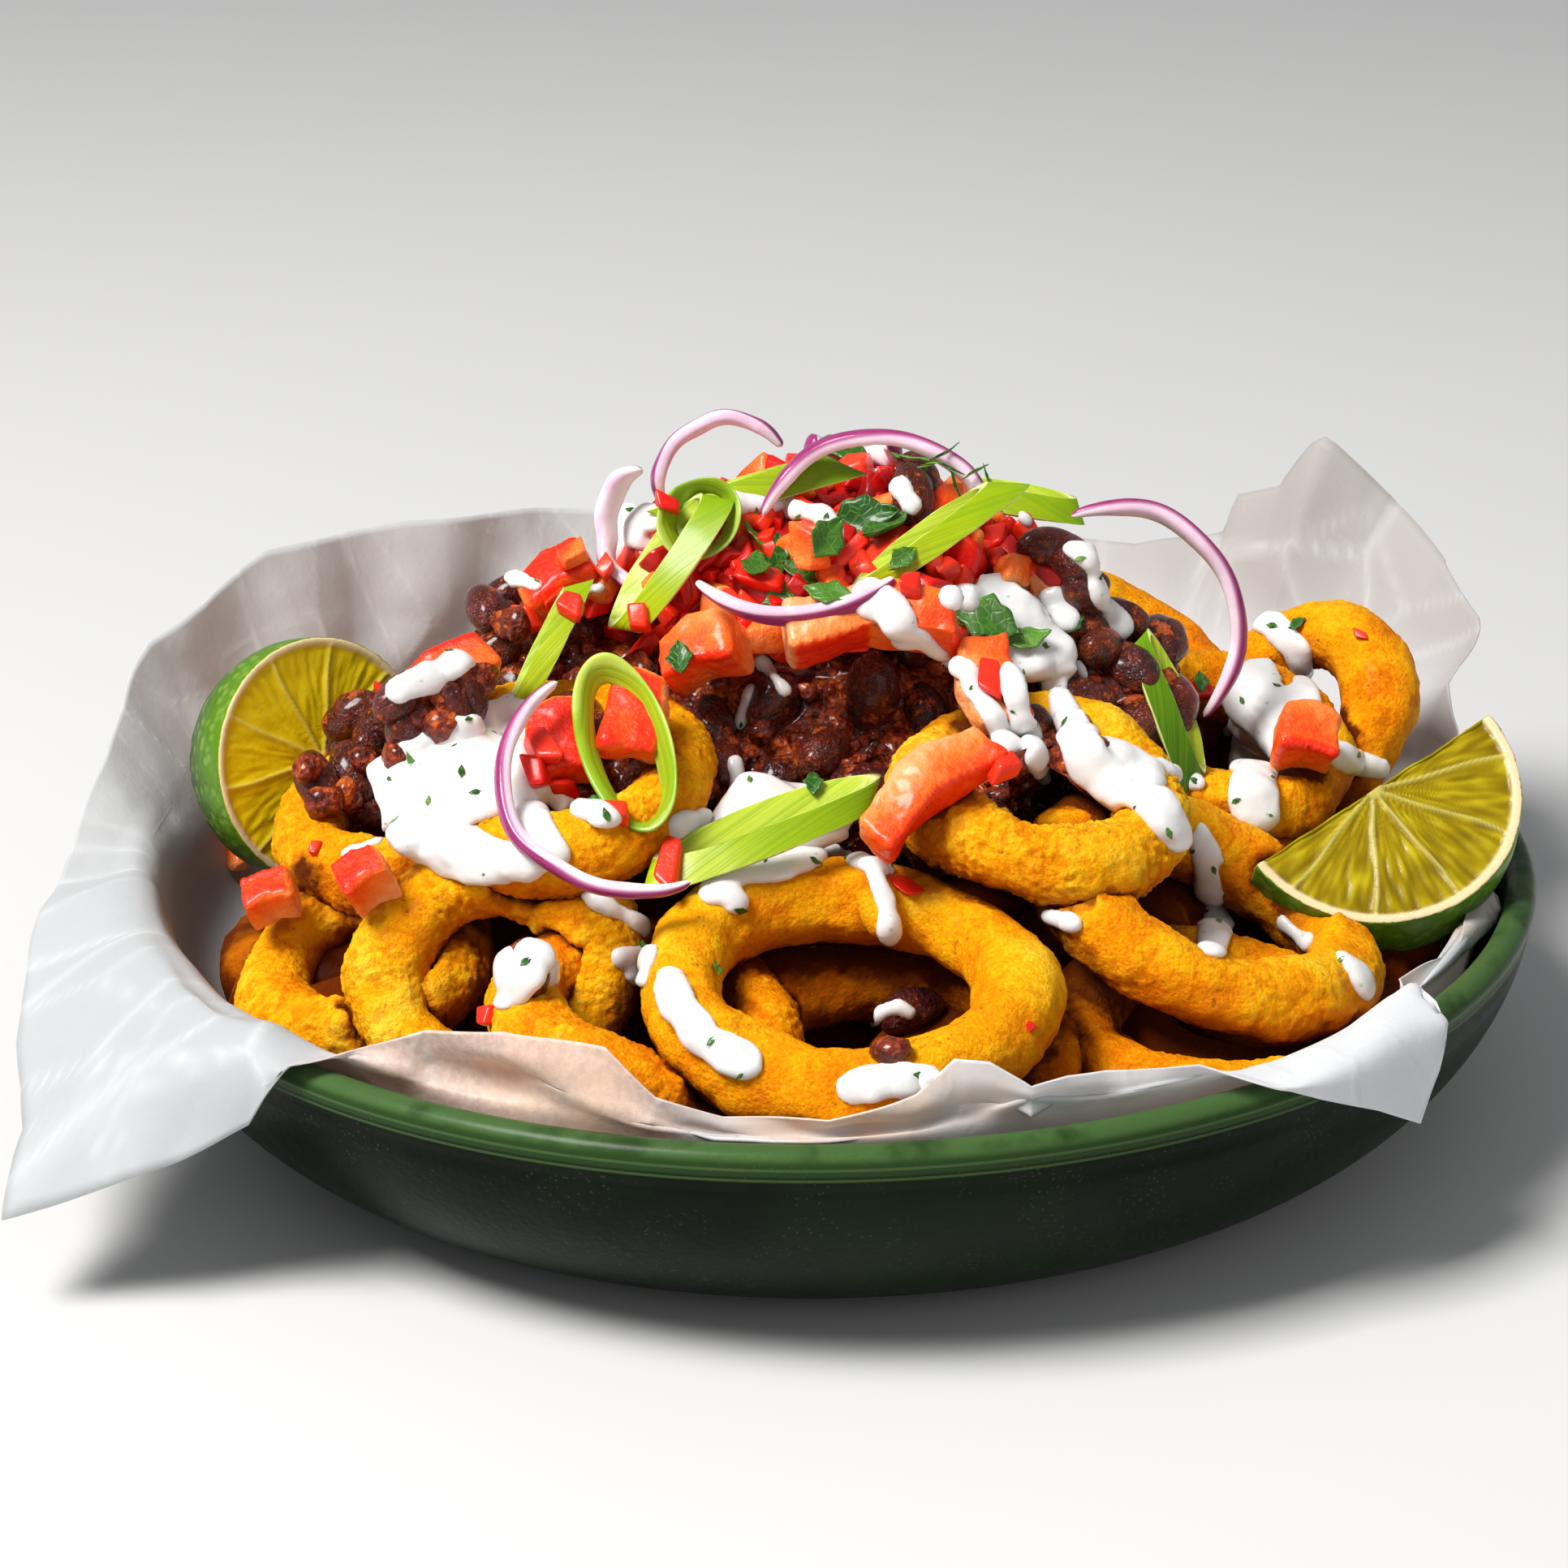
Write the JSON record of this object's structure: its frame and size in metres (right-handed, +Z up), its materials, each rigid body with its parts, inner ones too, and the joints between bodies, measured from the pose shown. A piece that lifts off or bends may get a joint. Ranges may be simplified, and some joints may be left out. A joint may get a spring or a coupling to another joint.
{
  "type": "loaded fried onion rings in a lined bowl",
  "caption": "Round shallow stoneware bowl lined with parchment, heaped with fried onion rings, bean chili, diced tomato, cream, sliced onions and lime; a table dish.",
  "frame": {"origin": "centre of the bowl's flat foot, on the surface that it stands on", "axes": "+Z up; -Y towards the front of the heap, with the largest ring; +X to the right, with the halved lime"},
  "size_m": [0.2596, 0.2543, 0.1174],
  "materials": {
    "bowl": "satin dark green glaze with a faint speckle",
    "paper": "matte, thin and translucent",
    "crust": "rough golden fried batter",
    "lime": "moist",
    "chili": "glossy, moist",
    "salsa": "moist",
    "tomato": "moist",
    "spring_onion": "satin, moist",
    "red_onion": "moist, translucent",
    "herb": "matte leaf",
    "cream": "smooth, glossy"
  },
  "bodies": {
    "root": {"bowl": "bowl", "paper_liner": "paper", "ring_front": "crust", "ring_breaded": "crust", "ring_middle_left": "crust", "ring_front_left": "crust", "ring_right": "crust", "ring_left_front": "crust", "ring_left_top": "crust", "ring_left": "crust", "ring_right_top": "crust", "ring_back_right": "crust", "ring_back": "crust", "ring_front_right": "crust", "ring_front_low": "crust", "ring_rear_right": "crust", "ring_rear": "crust", "ring_rear_left": "crust", "ring_far_left": "crust", "ring_heap": "crust", "lime_right": "lime", "lime_left": "lime", "chili": "chili", "salsa": "salsa", "tomato_cube": "tomato", "tomato_wedge": "tomato", "tomato_strip_front": "tomato", "tomato_strip_upper": "tomato", "tomato_right": "tomato", "tomato_left": "tomato", "tomato_left_low": "tomato", "tomato_wedge_left": "tomato", "tomato_hollow": "tomato", "tomato_loop": "tomato", "tomato_chunk": "tomato", "slice_top": "spring_onion", "slice_diagonal": "spring_onion", "slice_left": "spring_onion", "slice_left_low": "spring_onion", "slice_front": "spring_onion", "slice_right": "spring_onion", "slice_back": "spring_onion", "loop_front": "spring_onion", "loop_top": "spring_onion", "onion_top": "red_onion", "onion_left": "red_onion", "onion_middle": "red_onion", "onion_lower": "red_onion", "onion_right": "red_onion", "onion_front": "red_onion", "onion_back": "red_onion", "herb_leaf": "herb", "cream_left": "cream", "cream_upper_left": "cream", "cream_middle": "cream", "cream_breaded": "cream", "cream_right": "cream", "cream_top": "cream", "cream_hollow": "cream"}
  },
  "joints": []
}
